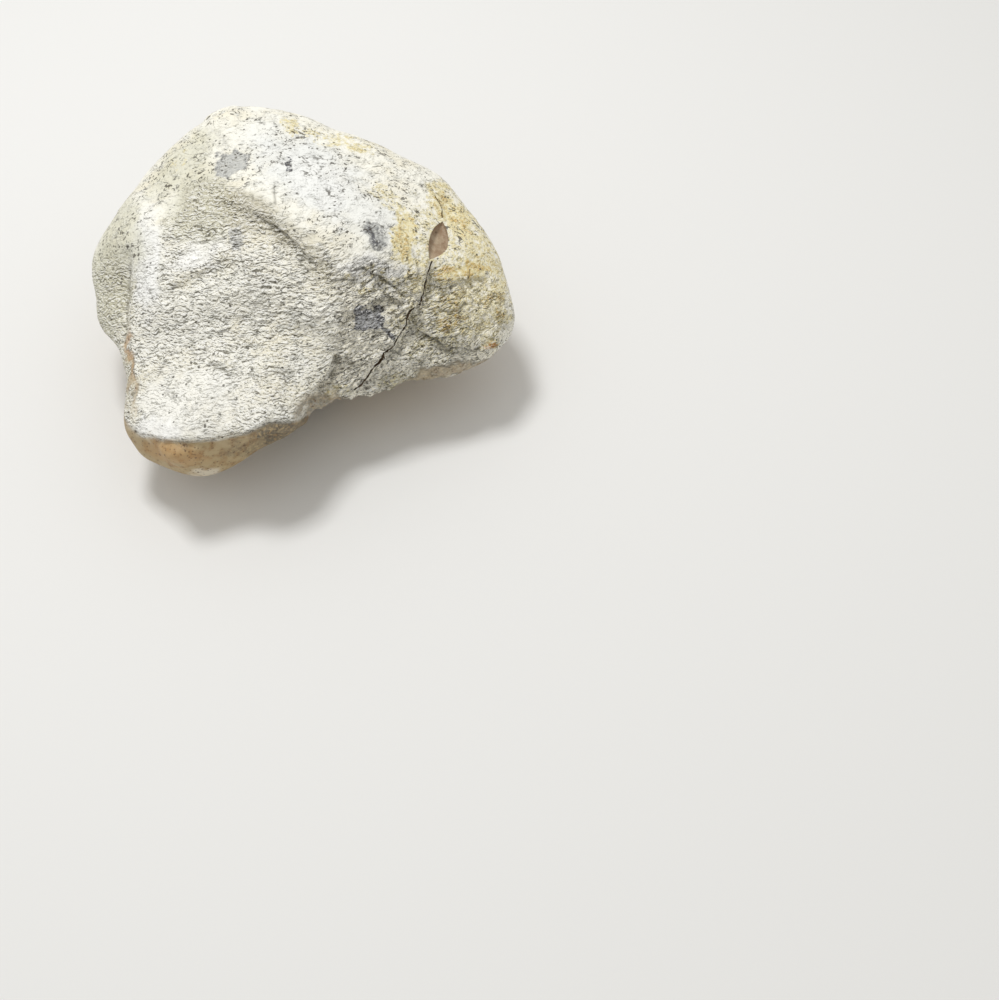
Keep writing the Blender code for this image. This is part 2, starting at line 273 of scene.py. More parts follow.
# %% [markdown]
# ## The ball laid onto the solid
# The solid's ten thousand flat faces hold its form, but show as facets in a close look. Each
# corner of the ball is pushed out from the stone's heart until it meets the solid, and the
# facets are eased away by averaging neighbours. A remesh would do this too, but it would also
# round the cracks and the chip. Here those are bridged over first, and cut again later with
# crisp edges. The flat spot that the stone rests on stays exactly as it is.

# %% The ball laid onto the solid
# Points of the crack on the board: across, up, and the crack's width there, in mm.
UPPER_CRACK = [(19.2, 13.5, 0.1), (20.2, 11.8, 0.22), (20.4, 9.8, 0.3)]
LOWER_CRACK = [
    (19.1, 4, 0.3), (18.4, 2, 0.25), (17.8, -0.5, 0.25), (17.3, -2.2, 0.35), (16, -2.9, 0.4),
    (15.6, -4.5, 0.3), (14.8, -6, 0.25), (13.9, -7.5, 0.25), (12.5, -8.8, 0.45), (11.7, -10, 0.7),
    (10.4, -11.5, 0.4), (9.3, -13, 0.3), (8, -14, 0.2),
]
CHIP_MIDDLE = (19.6, 6.9)
CRACK_BRIDGE, CHIP_BRIDGE = 9, 12  # rounds of bridging
CRACK_REACH, CHIP_REACH, REACH_FADE = 1.9, 4.7, 1.0  # mm from each cut that is bridged
BACK_BEGINS = -10.0  # mm out on the board: whatever is deeper is the back
EASING_STEPS = 7  # rounds of averaging
FLAT_SPOT_HEIGHT = 0.01  # mm: lower corners lie on the flat spot


def bridged(values, ends, rounds):
    """Narrow notches filled: every value spreads to its neighbours, and then shrinks back."""
    for spread in (np.maximum, np.minimum):
        for _ in range(rounds):
            wider = values.copy()
            spread.at(wider, ends[0], values[ends[1]])
            spread.at(wider, ends[1], values[ends[0]])
            values = wider
    return values


def search_tree(thing, matrix):
    """A tree of a mesh's faces, in which rays and near spots are quickly found."""
    return BVHTree.FromPolygons(
        [matrix @ v.co for v in thing.vertices], [p.vertices[:] for p in thing.polygons])


def shrink_wrap(mesh):
    directions = corner_values(mesh, "co")
    ends = edge_ends(mesh)
    tree = search_tree(SOLID.data, SOLID.matrix_world)
    radii = np.array([tree.ray_cast(HEART, Vector(way))[3] for way in directions]) / MM
    heart = np.array(HEART) / MM
    over_cracks, over_chip = bridged(radii, ends, CRACK_BRIDGE), bridged(radii, ends, CHIP_BRIDGE)
    board = world_to_board(heart + directions * over_chip[:, None])
    in_front = board[:, 2] > BACK_BEGINS
    from_crack = np.minimum(*[np.abs(from_line(board, line)[0]) for line in (UPPER_CRACK, LOWER_CRACK)])
    from_chip = np.linalg.norm(board[:, :2] - CHIP_MIDDLE, axis=1)
    eased = radii + (over_cracks - radii) * in_front * fade_out(from_crack, CRACK_REACH, REACH_FADE)
    eased += (over_chip - eased) * in_front * fade_out(from_chip, CHIP_REACH, REACH_FADE)
    for _ in range(EASING_STEPS):
        eased = neighbour_mean(eased, ends)
    on_the_spot = (heart + directions * radii[:, None])[:, 2] < FLAT_SPOT_HEIGHT
    place_corners(mesh, heart + directions * np.where(on_the_spot, radii, eased)[:, None])


shrink_wrap(STONE_MESH)
print("Widest, deepest, highest:", np.ptp(corner_values(STONE_MESH, "co"), axis=0).round(4))

# %% [markdown]
# ## Ledges and hairlines
# The solid has the stone's ledges, but its faces are too large for a sharp edge. Each ledge, and
# the lip of the tongue, gets a sharp drop along its own line. Hairlines are cracks too thin to
# open, so they are only fine grooves. Both could be sculpted by hand, but a line with a few
# numbers is easier to change.

# %% Ledges and hairlines
# The ground drops on the right of someone who walks along a line: its points (across, up) in mm,
# then the drop, the width of the drop, and how soon the ground rises again. A drop below 0
# raises the ground instead.
SHARP_STEPS = {
    "brow": ([(-4.5, 10), (-1.5, 8.3), (1.2, 6), (3.4, 3.8)], 0.25, 0.4, 1.2),
    "spur": ([(-19, -1.5), (-16, 0.8), (-12.5, 2.5), (-10.5, 3.8), (-7.5, 5)], 0.2, 1.2, 2.2),
    "lip": ([
        (-22.5, -18), (-20.5, -19.8), (-14, -20), (-9.5, -20), (-5.5, -19), (-2.5, -17.5),
        (1, -17.5)], 0.8, 0.3, 1.6),
    "tongue edge": ([(0.5, -18), (2.5, -15), (4, -13), (5.5, -11), (6, -8.5)], 0.8, 0.3, 1.6),
    "far left ledge": ([
        (-23, 7), (-23.5, 4), (-24, 0.5), (-24, -3), (-24, -6.5), (-23.5, -9)], 0.35, 0.35, 1.2),
    "under the upper ledge": ([
        (7.5, 0.5), (8.5, 1.5), (10.5, 2.5), (13, 2.5), (15, 1.5), (17, 0.5)], -0.3, 1.2, 1.8),
    "middle ledge": ([(10.5, -2), (12, -1.5), (13.5, -1), (15.5, -2)], 0.7, 0.3, 1.3),
    "right ledge": ([(17, -5.5), (19, -6.5), (21, -8), (23.5, -8.5), (26.5, -8.5)], 0.8, 0.3, 1.5),
    "upper ledge": ([
        (8, 2.6), (9.9, 3.0), (11.8, 2), (13.9, 0.6), (15.3, -0.4), (16.6, -1.4)], 0.4, 0.25, 0.8),
    "below the chip": ([(19.2, 0.2), (21.5, 0.7), (23, 1.3), (24.7, 1.8), (28, 2)], 0.45, 0.4, 1.4),
    "beside the crack": ([(18.2, -3.4), (20, -2.6), (21.5, -3), (23.5, -2.2)], 0.4, 0.3, 1.2),
    "upper left fold": ([(-20, 16), (-19, 17), (-17.5, 18.5), (-16, 19.5)], 0.35, 0.3, 1.2),
    "foot of the face": ([
        (-16.5, -6.5), (-11, -9.5), (-7, -11), (-2, -11), (1, -10.5), (4, -9)], 0.25, 0.6, 1.6),
}
STEP_WOBBLES = [(0.35, 1.6, 31), (0.15, 0.6, 32)]  # mm to the side, over how many mm, and seed
STEP_ENDS = 6  # a step fades over a sixth of its line at each end
HAIRLINES = [
    [(-5.2, 10.4), (-3.6, 9.2), (-2.4, 8.4), (-1.4, 7.9), (-0.2, 6.9), (0.8, 5.7)],
    [(-2.6, 14.4), (-2.4, 13), (-2.1, 11.6)], [(-6.8, 4.7), (-6.3, 3.4), (-6.1, 2.0)],
    [(8.4, 2.5), (9.9, 2.9), (11.8, 1.9), (13.9, 0.5)], [(5.3, 1.1), (7.4, 1.4), (8.6, 1.3)],
    [(17, -5.6), (19, -6.7), (20.8, -7.8), (22.4, -8.2)],
    [(16.5, 5.5), (17, 4), (17.5, 2)], [(18.5, -7.4), (20.6, -8.6), (23.2, -9.2)],
]
HAIRLINE_WIDTH = 0.12  # mm
SEED_STEP = Vector((17.3, 5.9, 11.1))  # how far apart two seeds read the noise


def noise_at(points, size, seed):
    """Smooth noise from about -1 to 1, whose lumps are size mm across."""
    shift = SEED_STEP * seed
    return np.array([noise.noise(Vector(point) / size + shift) for point in points])


def sharp_steps(board):
    """How deep all the steps together lower each place, in mm."""
    wobble = sum(height * noise_at(board, size, seed) for height, size, seed in STEP_WOBBLES)
    drop = np.zeros(len(board))
    for line, depth, width, reach in SHARP_STEPS.values():
        right, along = from_line(board, line)
        right = right + wobble
        ends = smooth(STEP_ENDS * np.minimum(along, 1 - along))
        near = np.exp(-(np.maximum(right, 0) / reach) ** 2)
        drop += depth * ends * smooth(right / width + 0.5) * near
    return drop


def near_hairlines(board):
    """1 on a hairline, and about a third at HAIRLINE_WIDTH to its side."""
    nearest = np.min([np.abs(from_line(board, line)[0]) for line in HAIRLINES], axis=0)
    return np.exp(-(nearest / HAIRLINE_WIDTH) ** 2)


print(len(SHARP_STEPS), "steps and", len(HAIRLINES), "hairlines")

# %% [markdown]
# ## Patches and swells
# Low swells, and later the stains, lie in rounded places with soft edges. Each is an ellipse on
# the board, and where several meet, the strongest counts. A mask could be painted by hand, but
# an ellipse is six numbers, and it can be moved without painting anything again.

# %% Patches and swells
# Each swell: across, up, half width, half height (mm), lean (degrees), and height (mm).
SWELLS = [
    (-12.0, 25.2, 2.6, 1.8, 20, 0.6), (-18.0, 18.6, 2.4, 1.0, 40, 0.4),
    (-23.0, 12.5, 2.0, 1.2, 60, 0.3)]
PATCH_REACH, PATCH_SHARPNESS = 1.35, 1.4  # how far it reaches, in half widths, and its edge
SEEN_WIDTH, SEEN_SHARE = 3.0, 0.7  # mm over which patches fade in, and how far at BACK_BEGINS


def before_back(board):
    """1 on the front and sides, and 0 at the back."""
    return smooth((board[:, 2] - BACK_BEGINS) / SEEN_WIDTH + SEEN_SHARE)


def patches(place, within, spots):
    """The strongest of several soft ellipses at each place."""
    share = np.zeros(len(place))
    for across, up, wide, high, lean, strength in spots:
        turn = math.radians(lean)
        x, y = place[:, 0] - across, place[:, 1] - up
        along = (x * math.cos(turn) + y * math.sin(turn)) / wide
        athwart = (y * math.cos(turn) - x * math.sin(turn)) / high
        inside = smooth(PATCH_SHARPNESS * (PATCH_REACH - np.hypot(along, athwart)))
        share = np.maximum(share, strength * inside)
    return np.minimum(share * within, 1)


print(len(SWELLS), "swells")

# %% [markdown]
# ## Kinds of ground
# The stone has four kinds of ground. The hump is smooth weathered chalk. Rubble is the broken
# right side. The rind is the waxy chert that shows under the lip and underneath the stone. The
# rest of the front is flaked chalk. They meet along wandering borders, so each kind is a share
# from 0 to 1 at every corner. Separate pieces of mesh would show seams instead.

# %% Kinds of ground
# The broken ground lies left of someone who walks along this line from the right.
BROKEN_EDGE = [(31, 0), (24, 1.5), (17, 2.5), (10.5, 4.2), (7, 2.5), (6, -8.5), (4, -13), (1, -19)]
# The smooth hump and back lie left of someone who walks along this line from the left.
HUMP_EDGE = [
    (-30, 4), (-21, 4), (-16.5, 12), (-12, 15.5), (-8, 14.5), (-4, 11), (2, 6.4), (7, 4.8),
    (12, 4.6), (17, 3.2), (31, 0)]
BROKEN_BORDER, HUMP_BORDER = (0.8, 2.0), (1.2, 3.0)  # mm: how far it wanders, and its width
WANDER_SIZES = (3.0, 1.2)  # mm over which the borders wander
FRONT_WIDTH, FRONT_SHARE = 3.0, 0.6  # mm over which the front fades in, and how far at the heart
# The rind's top and foot below the lip, and its right end: where it fades, and over how many mm.
RIND_TOP, RIND_FOOT, RIND_RIGHT = (-0.1, 0.5), (8.0, 2.0), (6.0, 4.0)
UNDERSIDE, UNDERSIDE_WIDTH, UNDERSIDE_WANDER = 0.25, 0.3, 0.15  # how much the ground faces down


def left_of(board, line, wander, border):
    """1 on the left of a line and 0 on its right, across a border that wanders."""
    height, width = border
    return smooth(0.5 - (from_line(board, line)[0] + height * wander) / width)


def regions(points, board, facing):
    """Where on the stone each kind of ground lies, as shares from 0 to 1."""
    wander = noise_at(points, WANDER_SIZES[0], 21) + 0.5 * noise_at(points, WANDER_SIZES[1], 22)
    front = smooth(board[:, 2] / FRONT_WIDTH + FRONT_SHARE)
    rubble = front * left_of(board, BROKEN_EDGE, wander, BROKEN_BORDER)
    hump = left_of(board, HUMP_EDGE, wander, HUMP_BORDER)
    below_lip, _ = from_line(board, SHARP_STEPS["lip"][0])
    under_lip = fade_in(below_lip, *RIND_TOP) * fade_out(board[:, 0], *RIND_RIGHT)
    under_lip = under_lip * fade_out(np.abs(below_lip), *RIND_FOOT)
    underneath = smooth((-facing[:, 2] - UNDERSIDE + UNDERSIDE_WANDER * wander) / UNDERSIDE_WIDTH)
    rind = np.clip(under_lip + underneath * (1 - rubble), 0, 1)
    return {"front": front, "rubble": rubble * (1 - rind), "rind": rind, "hump": hump * (1 - rubble)}


def survey(mesh):
    """Every corner's place in mm and on the board, the way it faces, and its kinds of ground."""
    points, facing = corner_values(mesh, "co") / MM, corner_values(mesh, "normal")
    board = world_to_board(points)
    return points, board, facing, regions(points, board, facing)


print("Edges:", len(BROKEN_EDGE), "points around the rubble,", len(HUMP_EDGE), "around the hump")

# %% [markdown]
# ## Flakes, little ledges and pits
# Chalky stone breaks in small overlapping flakes. Each slopes out towards its lower edge and
# ends there in a tiny drop, and those drops are the short dark dashes on the broad face. Plain
# noise has no such edges. Voronoi noise has cells, and how far a spot lies below its cell's
# middle makes the flake. Little ledges are a noise that climbs and falls back like a saw.

# %% Flakes, little ledges and pits
FLAKE = (1.35, 0.62, 1.1)  # mm: along its row, down the slope, and through the stone
FLAKE_BEND, FLAKE_SHUFFLE = 0.25, 3.7  # mm that rows stray, and what scatters their heights
FLAKES_RISE_FROM, FLAKES_RISE = 4.0, 0.4  # right of here the rows of flakes climb, by this slope
LEDGE_SPACING, LEDGE_SIZE = 1.3, 2.2  # mm from one to the next, and mm over which they wander
LEDGE_WANDER, LEDGE_GAPS = 1.2, 1.5  # how many ledges they wander, and how sharply they stop
PIT_SPACING, PIT_RADIUS = 1.7, 0.22  # mm, and a share of the spacing


def along_grain(board):
    """Board places as along, across and through the rows of flakes."""
    rise = FLAKES_RISE * np.maximum(board[:, 0] - FLAKES_RISE_FROM, 0)
    return np.column_stack([board[:, 0], board[:, 1] - rise, board[:, 2]])


def flakes(grain, seed):
    """Flakes from 0 to 1 in height, each rising to its lower edge, with some lying flat."""
    heights = np.empty(len(grain))
    bend = FLAKE_BEND * noise_at(grain, FLAKE[0], seed + 10)
    for index, place in enumerate((grain + bend[:, None]) / FLAKE):
        spot = Vector(place) + SEED_STEP * seed
        middle = noise.voronoi(spot)[1][0]
        heights[index] = noise.cell(middle * FLAKE_SHUFFLE) * (0.5 + middle.y - spot.y)
    return np.clip(heights, 0, 1)


def ledges(points, grain, seed):
    """Small uneven ledges, one above another: each slopes out towards its lower edge."""
    climb = grain[:, 1] / LEDGE_SPACING + LEDGE_WANDER * noise_at(points, LEDGE_SIZE, seed)
    broken_up = smooth(0.5 + LEDGE_GAPS * noise_at(points, LEDGE_SIZE, seed + 1))
    return (1 - climb % 1.0) * broken_up


def pits(points, seed):
    """Small round pits, from 0 for none to 1 for the bottom."""
    shift = SEED_STEP * seed
    gaps = [noise.voronoi(Vector(point) / PIT_SPACING + shift)[0][0] for point in points]
    return smooth(1 - np.array(gaps) / PIT_RADIUS)


print("A flake is", FLAKE[0], "x", FLAKE[1], "mm")

# %% [markdown]
# ## Carving
# All the relief is added up in millimetres, and each corner moves by that much along the way it
# faces. Displacement in the material would only show in a render, while moved corners are real
# shape. Near the table the relief fades out, so that the stone still rests on its flat spot.

# %% Carving
LUMP_SIZE, LUMP_HEIGHT = 3.4, 0.14  # mm, as are all the sizes, heights and depths here
GRAIN_SIZE, GRAIN_HEIGHT = 0.9, 0.07
RUBBLE_SIZE, RUBBLE_HEIGHT = 1.5, 0.4
FLAKE_HEIGHT, LEDGE_HEIGHT, HAIRLINE_DEPTH = 0.26, 0.28, 0.15
RUBBLE_FLAKES = 1.2  # times as high as the others
PIT_DEPTH, PITTED_SIZE, PITTED_SHARE = 0.16, 6.0, 0.4  # more share, more pitted ground
FLAKE_LEVEL, RUBBLE_LEVEL, LEDGE_LEVEL = 0.4, 0.35, 0.3  # parts of each that sink below the ground
RIND_IS_SMOOTH, HUMP_IS_SMOOTH = 0.7, 0.85  # how much of the grain and of the flakes is missing
LEDGES_AMONG_FLAKES = 0.35  # share of the ledges' height there
FLAKES_END_AT, FLAKES_END_OVER = -26.0, 6.0  # mm across: to the left, flakes fade out
CARVED_FROM, CARVED_OVER = 0.1, 1.5  # mm above the table


def carve(mesh):
    """Adds all the relief, and returns how far the corners moved."""
    points, board, facing, where = survey(mesh)
    grain, front, rubble, rind = along_grain(board), where["front"], where["rubble"], where["rind"]
    flaked = (1 - rind) * (1 - rubble) * (1 - HUMP_IS_SMOOTH * where["hump"]) * smooth(front * 2)
    flaked = flaked * fade_in(board[:, 0], FLAKES_END_AT, FLAKES_END_OVER)
    knobs = np.abs(noise_at(points, RUBBLE_SIZE, 4)) + 0.5 * np.abs(noise_at(points, RUBBLE_SIZE / 2, 8))
    climbing = ledges(points, grain, 9) - LEDGE_LEVEL
    pitted = smooth(noise_at(points, PITTED_SIZE, 7) + PITTED_SHARE)
    relief = LUMP_HEIGHT * noise_at(points, LUMP_SIZE, 1)
    relief += GRAIN_HEIGHT * noise_at(points, GRAIN_SIZE, 2) * (1 - RIND_IS_SMOOTH * rind)
    relief += FLAKE_HEIGHT * flaked * (flakes(grain, 3) - FLAKE_LEVEL)
    relief += RUBBLE_HEIGHT * rubble * (knobs - RUBBLE_LEVEL)
    relief += LEDGE_HEIGHT * (rubble + LEDGES_AMONG_FLAKES * flaked) * climbing
    relief += RUBBLE_FLAKES * FLAKE_HEIGHT * rubble * flakes(grain, 5)
    relief -= PIT_DEPTH * pits(points, 6) * (1 - rind) * pitted
    relief -= HAIRLINE_DEPTH * front * near_hairlines(board)
    relief -= sharp_steps(board) * front
    relief += patches(board, before_back(board), SWELLS)
    relief *= fade_in(points[:, 2], CARVED_FROM, CARVED_OVER)
    place_corners(mesh, points + facing * relief[:, None])
    return relief


CARVED = carve(STONE_MESH)
print("Carved from", CARVED.min().round(2), "to", CARVED.max().round(2), "mm")

# %% [markdown]
# ## The crack
# One crack runs down the right side, through a leaf-shaped chip. A displaced surface can't have
# its crisp edge, so it is cut with a Boolean. The cutter is a blade that follows the crack,
# straying a little to each side, and narrows to nothing at its bottom. A Boolean needs a closed
# cutter of flat faces that all look outwards, so every cutter is finished in the same way.

# %% The crack
CRACK_DEPTH, CRACK_STANDS_OUT = 1.5, 0.8  # mm below the surface, and above it
CRACK_LEVELLING = 2.2  # mm around that decide which way the blade stands
CRACK_SPACING, CRACK_STRAY = 0.45, 0.2  # mm between the blade's sections, and to the side
STRAY_SIZE, SWELL_SIZE, CRACK_SWELL = 1.1, 1.6, 0.3  # mm, mm, and a share of the crack's width
CLEAR_OF_STONE = 60  # mm out on the board


def front_spot(tree, across, up):
    """The spot, in metres, that is met looking straight at the board."""
    return tree.ray_cast(board_to_world(across, up, CLEAR_OF_STONE) * MM, board_way(0, 0, -1))[0]


def facing_near(tree, spot, reach):
    """The way the stone faces on average within reach mm of a spot."""
    near = tree.find_nearest_range(spot, reach * MM)
    return sum((facing for _, facing, _, _ in near), Vector()).normalized()


def wandering(line):
    """A crack's line with a point every CRACK_SPACING mm, straying from side to side."""
    line = np.array(line)
    walked = np.append(0, np.cumsum(np.linalg.norm(np.diff(line[:, :2], axis=0), axis=1)))
    stops = np.arange(0, walked[-1], CRACK_SPACING)
    across, up, width = (np.interp(stops, walked, column) for column in line.T)
    stray = [noise.noise(Vector((stop, 0, 9)) / STRAY_SIZE) for stop in stops]
    swell = [1 + CRACK_SWELL * noise.noise(Vector((stop, 5, 0)) / SWELL_SIZE) for stop in stops]
    return np.column_stack([across + CRACK_STRAY * np.array(stray), up, width * np.array(swell)])


def finished_mesh(bm, name, paint):
    """A cutter's mesh, in triangles that look outwards."""
    bmesh.ops.triangulate(bm, faces=bm.faces[:])
    if bm.calc_volume(signed=True) < 0:
        bmesh.ops.reverse_faces(bm, faces=bm.faces)
    mesh = bpy.data.meshes.new(name)
    bm.to_mesh(mesh)
    bm.free()
    mesh.materials.append(paint)
    return mesh


def crack_blade(tree, line, name, paint):
    """A blade along a crack, with a sharp bottom edge inside the stone."""
    line = wandering(line)
    flare = 1 + CRACK_STANDS_OUT / CRACK_DEPTH
    bm = bmesh.new()
    sections = []
    for index, (across, up, width) in enumerate(line):
        before, after = line[max(index - 1, 0)], line[min(index + 1, len(line) - 1)]
        middle = front_spot(tree, across, up)
        outward = facing_near(tree, middle, CRACK_LEVELLING)
        sideways = outward.cross(board_way(after[0] - before[0], after[1] - before[1], 0)).normalized()
        half = sideways * width / 2 * flare * MM
        top = middle + outward * CRACK_STANDS_OUT * MM
        bottom = middle - outward * CRACK_DEPTH * MM
        sections.append([bm.verts.new(spot) for spot in (top - half, bottom, top + half)])
    for one, other in zip(sections[:-1], sections[1:]):
        for a in range(3):
            b = (a + 1) % 3
            bm.faces.new((one[a], one[b], other[b], other[a]))
    bm.faces.new(reversed(sections[0]))
    bm.faces.new(sections[-1])
    return finished_mesh(bm, name, paint)


PAINTS = [bpy.data.materials.new(name) for name in ("chalk", "crack_fill", "chip_floor")]
CHALK_PAINT, CRACK_PAINT, CHIP_PAINT = PAINTS
CARVED_TREE = search_tree(STONE_MESH, Matrix())
BLADES = [
    crack_blade(CARVED_TREE, line, name, CRACK_PAINT)
    for line, name in ((UPPER_CRACK, "upper_crack"), (LOWER_CRACK, "lower_crack"))]
print("Blades:", [len(blade.polygons) for blade in BLADES], "triangles")

# %% [markdown]
# ## The chip
# The chip is a shallow scoop like a leaf, where a flake sprang off beside the crack. It is cut
# with a flattened ball that is pinched to a point at both ends. Carving it like the other
# relief would leave its edge soft.

# %% The chip
CHIP_LENGTH, CHIP_WIDTH, CHIP_DEPTH = 7.6, 3.3, 0.65  # mm
CHIP_LEAN, CHIP_BOW = 17.0, 0.25  # degrees to the right, and the right side's bulge
CHIP_PINCH, CHIP_FLATNESS = 0.7, 0.8  # powers that shape its points and its floor
CHIP_RIPPLE, RIPPLES = 0.06, 3  # share of its depth, and how closely they lie
CHIP_SECTIONS, CHIP_RINGS = 64, 40


def chip_scoop(tree, paint):
    """A shallow leaf-shaped scoop, pointed at both ends."""
    bm = bmesh.new()
    bmesh.ops.create_uvsphere(bm, u_segments=CHIP_SECTIONS, v_segments=CHIP_RINGS, radius=1.0)
    middle = front_spot(tree, *CHIP_MIDDLE)
    outward = facing_near(tree, middle, CHIP_LENGTH / 2)
    lean = math.radians(CHIP_LEAN)
    up, out = board_way(math.sin(lean), math.cos(lean), 0), board_way(0, 0, 1)
    along = (up - out * (up.dot(outward) / out.dot(outward))).normalized()
    sideways = along.cross(outward)
    for vertex in bm.verts:
        side, rise, end = vertex.co
        pinch = max(0.0, 1 - end * end) ** CHIP_PINCH
        wide = side * pinch * CHIP_WIDTH / 2 * (1 + CHIP_BOW * (1 if side > 0 else -1))
        ripple = CHIP_RIPPLE * noise.noise(Vector((side, rise, end)) * RIPPLES)
        rise = math.copysign(abs(rise) ** CHIP_FLATNESS, rise)
        vertex.co = middle + MM * (
            sideways * wide + outward * (rise + ripple) * CHIP_DEPTH + along * end * CHIP_LENGTH / 2)
    return finished_mesh(bm, "chip_scoop", paint)


SCOOP = chip_scoop(CARVED_TREE, CHIP_PAINT)
print("Scoop:", len(SCOOP.polygons), "triangles")

# %% [markdown]
# ## Cutting the stone
# The scoop and the blades are taken from the stone by Boolean modifiers, with the exact solver,
# which is slower than the fast one but surer. The cut faces take the cutter's own material, so
# the crack comes out dark and the chip's floor brown. The stone then rides on the part's body
# and stands in for its plain solid.

# %% Cutting the stone
def cut_stone(stone, cutters):
    """Cuts with each cutter in turn and keeps the result as the stone's mesh."""
    for mesh in cutters:
        cutter = bpy.data.objects.new(mesh.name, mesh)
        bpy.context.scene.collection.objects.link(cutter)
        cut = stone.modifiers.new(mesh.name, "BOOLEAN")
        cut.operation, cut.solver, cut.material_mode = "DIFFERENCE", "EXACT", "TRANSFER"
        cut.object = cutter
    depsgraph = bpy.context.evaluated_depsgraph_get()
    whole = bpy.data.meshes.new_from_object(stone.evaluated_get(depsgraph), depsgraph=depsgraph)
    for cut in list(stone.modifiers):
        cutter = cut.object
        stone.modifiers.remove(cut)
        bpy.data.objects.remove(cutter)
    stone.data = whole
    whole.name = "stone"


def add_stone():
    stone = bpy.data.objects.new("stone", STONE_MESH)
    bpy.context.scene.collection.objects.link(stone)
    STONE_MESH.shade_smooth()
    for paint in PAINTS:
        STONE_MESH.materials.append(paint)
    cut_stone(stone, [SCOOP, *BLADES])
    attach(stone, "root")
    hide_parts("geode")
    return stone


STONE = add_stone()
print("Stone:", len(STONE.data.polygons), "faces after the cuts,", [m.name for m in STONE.data.materials])

# %% [markdown]
# ## Where the colours lie
# The colours of the stone are mostly patches that grew in it, not paint, so they are given as places on
# the board. The bright, dull and chert shadow patches also hold painted light and shade. A painted image
# would do, but it blurs close up and has to be fitted to the surface.
# Soft ellipses, six numbers each, look right from any distance.

# %% Where the colours lie
# Each patch: across, up, half width, half height (mm on the board), lean (degrees), strength.
PATCHES = {
    "ochre": [
        (-1.5, 23.6, 1.6, 0.9, -35, 0.55), (1.8, 22.2, 2.6, 0.9, -20, 0.35),
        (7.2, 20.9, 3.6, 1, -18, 0.45), (15.4, 6.8, 1.4, 4.2, 8, 0.8),
        (23.5, 4, 7, 12, 10, 0.42), (19.5, -3.5, 6, 6.5, 0, 0.3), (12, 1.2, 4, 1.6, 0, 0.35),
        (24, -1.5, 6, 6, 0, 0.55), (17, 1.8, 1.5, 3, 20, 0.6), (22, 10.4, 1.9, 4.6, 38, 0.8),
        (23.8, 2.6, 4.6, 1.3, 8, 0.95), (21.6, -3.6, 2, 3.4, -15, 0.85),
        (27.4, -7.2, 0.8, 0.9, 0, 1), (28.4, -1.5, 1.6, 4, 0, 0.7),
        (25.8, 5.4, 1.8, 4, 35, 0.6), (12.8, 13.2, 3, 1.2, -40, 0.3),
        (19.8, 13.6, 1.8, 2, 0, 0.6), (24.5, -5.5, 2.4, 1.8, -10, 0.45),
        (-18, 18.2, 2.2, 0.9, 40, 0.25), (14.2, -12.5, 3, 1, 10, 0.3),
        (6, -14, 2, 1, 0, 0.4)],
    "rust": [
        (27.4, -7.4, 0.55, 0.6, 10, 1), (-16, -22, 4.5, 1.4, -10, 0.35),
        (19.4, 6.2, 0.4, 0.7, 0, 0.5), (-22.9, -9, 0.5, 3, 9, 0.4)],
    "smoke": [
        (-9.3, 17.7, 2.6, 2, 20, 0.8), (-7.4, 7.4, 0.9, 1.9, -10, 0.4),
        (11.6, 7.2, 1.6, 2, 15, 0.6), (-12, 21, 2.4, 1.4, 30, 0.2)],
    "flint": [
        (10.4, -4, 2, 1.6, -20, 1), (12.8, -5.8, 1.6, 0.5, -35, 0.4),
        (-1.3, 17.3, 0.5, 0.65, 0, 0.35), (11.4, 7.1, 0.9, 1.5, 15, 0.26),
        (13, 8.6, 0.8, 0.6, 0, 0.2)],
    "cool": [
        (1.5, 16.8, 10.5, 4.6, -35, 0.75), (9, 11, 7, 3.6, -40, 0.6),
        (-20.9, 3.8, 2.2, 7, 5, 0.5)],
    # Bright patches are partly painted light, on faces that lie in shade.
    "bright": [
        (3, 15, 5, 2.6, -30, 0.35), (11.5, 2.2, 4.5, 2, -10, 0.9),
        (-20.9, 3.8, 2.2, 8, 5, 0.9), (-12.5, 4.6, 4.5, 1.6, 20, 0.8),
        (-12, -15.5, 9.5, 4.5, 0, 0.4), (-18, -18.8, 4.5, 1.6, 0, 1),
        (-12, -25.6, 1.8, 1, 0, 0.9)],
    "green": [
        (-27.6, 0.5, 4.2, 7.5, 0, 0.9), (-13, 11.5, 5, 5.5, 20, 0.8), (-25, 8, 4, 6, 25, 0.7),
        (-17, 18, 6, 3, 40, 0.7)],
    # Dull patches are partly painted shade, where the ground lies in shade.
    "dull": [
        (-12.5, 11.5, 4.2, 4.2, 0, 0.35), (-26.5, -3, 3, 9, 0, 0.35), (0.8, 7.4, 5, 1.5, -40, 0.35),
        (-23.6, -14, 1.2, 6, 0, 0.6), (-6.5, 10.6, 5, 2.6, -20, 0.75), (4.5, 2.2, 2, 3, 30, 0.4),
        (-2, 8, 4, 0.8, -38, 0.65), (14.8, -12.9, 3.8, 0.8, 14, 0.8)],
    "tan": [
        (3.8, -16.3, 3, 2.2, 20, 0.8), (-22.7, -11, 0.6, 5.5, 9, 0.8),
        (22.6, -11.4, 7, 1.1, 12, 0.8)],
    "worn": [
        (-16.5, -18.6, 5.5, 1.6, 0, 1), (-14, -15.5, 8.5, 4.5, 0, 0.55),
        (-20.5, 4, 2, 6.5, 5, 0.6), (-12.5, 5, 3.6, 1.2, 20, 0.6), (26.5, -0.5, 4, 7.5, 0, 0.55)],
    # These chert patches are painted shadow under the tongue's lip and along the lower right underside.
    "crust": [
        (-1, -19, 3.8, 2, 22, 1.4), (2.8, -16.4, 2.4, 1.6, 35, 1),
        (-6.5, -21.5, 3, 1.2, 10, 0.5), (23.6, -11.2, 7.5, 1.2, 12, 0.5)],
}
print("Patches:", {name: len(spots) for name, spots in PATCHES.items()})
